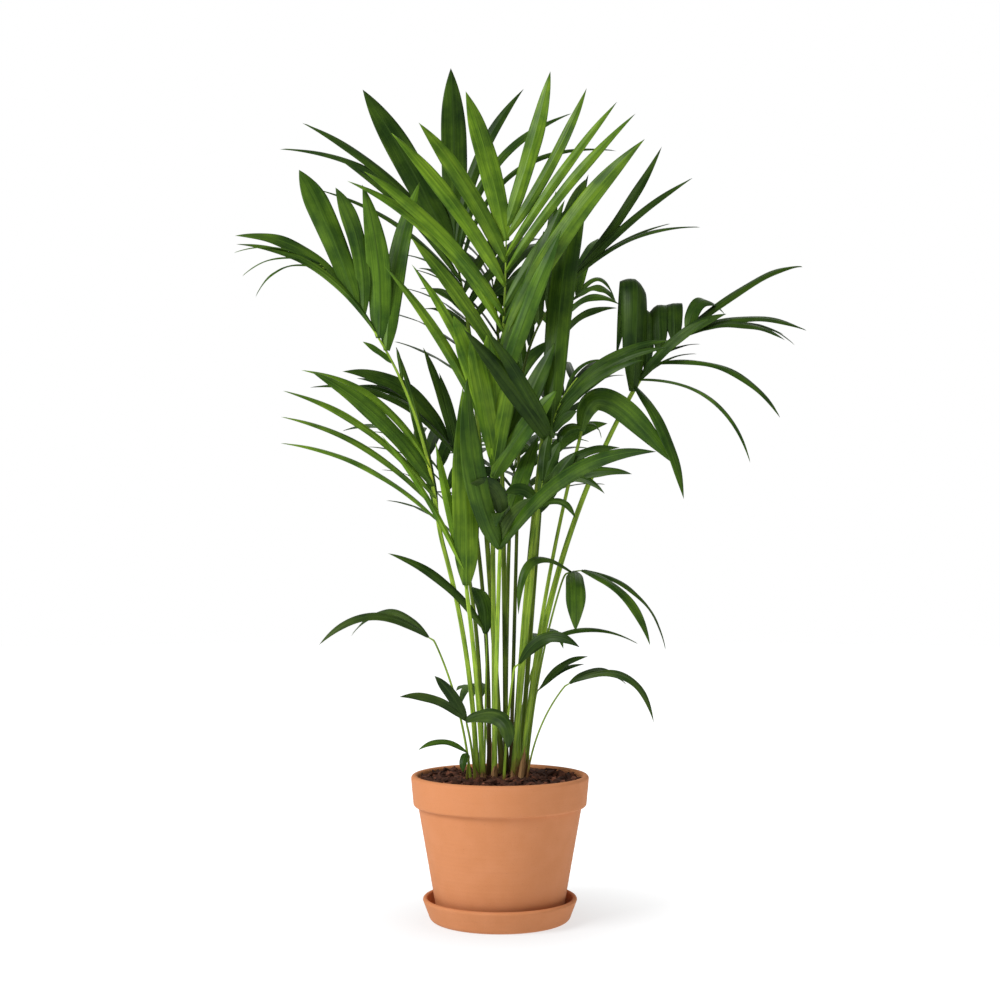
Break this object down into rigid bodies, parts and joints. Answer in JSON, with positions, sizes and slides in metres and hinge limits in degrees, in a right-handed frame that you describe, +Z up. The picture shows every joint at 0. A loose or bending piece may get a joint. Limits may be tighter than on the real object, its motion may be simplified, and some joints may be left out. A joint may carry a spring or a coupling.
{
  "type": "potted kentia palm",
  "caption": "Clump-forming palm with arching feather fronds on slim stems, in a terracotta pot on a saucer.",
  "frame": {"origin": "centre of the saucer's flat underside", "axes": "+Z up, +X to the right and +Y away from the viewer as the picture shows the plant"},
  "size_m": [0.8703, 0.7838, 1.3299],
  "materials": {
    "terracotta": "matt unglazed fired clay",
    "bark_soil": "coarse dark bark and peat",
    "stem": "smooth satin green stem",
    "leaf_bright": "young satin leaf",
    "leaf_mid": "satin leaf",
    "leaf_dark": "dark satin leaf"
  },
  "bodies": {
    "root": {"saucer": "terracotta", "pot": "terracotta", "soil": "bark_soil", "stem_left": "stem", "frond_left": "leaf_mid", "stem_front_blade": "stem", "frond_front_blade": "leaf_bright", "stem_centre": "stem", "frond_centre": "leaf_bright", "stem_front_low": "stem", "frond_front_low": "leaf_mid", "stem_front_right": "stem", "frond_front_right": "leaf_dark", "stem_right_inner": "stem", "frond_right_inner": "leaf_dark", "stem_right_arch": "stem", "frond_right_arch": "leaf_dark", "stem_right_small": "stem", "frond_right_small": "leaf_mid", "stem_back_right_high": "stem", "frond_back_right_high": "leaf_dark", "stem_back_right": "stem", "frond_back_right": "leaf_dark", "stem_back_high": "stem", "frond_back_high": "leaf_dark", "stem_back_left": "stem", "frond_back_left": "leaf_dark", "stem_seedling_left": "stem", "frond_seedling_left": "leaf_mid", "stem_seedling_leaf": "stem", "frond_seedling_leaf": "leaf_dark", "stem_seedling_fan": "stem", "frond_seedling_fan": "leaf_mid", "stem_seedling_low": "stem", "frond_seedling_low": "leaf_mid", "stem_seedling_right": "stem", "frond_seedling_right": "leaf_mid", "stem_seedling_twin": "stem", "frond_seedling_twin": "leaf_dark", "stem_seedling_middle": "stem", "frond_seedling_middle": "leaf_dark", "stem_seedling_droop": "stem", "frond_seedling_droop": "leaf_mid", "stem_rear_left": "stem", "frond_rear_left": "leaf_dark", "stem_rear_right": "stem", "frond_rear_right": "leaf_dark", "stem_rear_high": "stem", "frond_rear_high": "leaf_dark", "stem_rear_arch": "stem", "frond_rear_arch": "leaf_dark", "stem_rear_seedling": "stem", "frond_rear_seedling": "leaf_mid", "stem_rear_leaf": "stem", "frond_rear_leaf": "leaf_mid"}
  },
  "joints": []
}
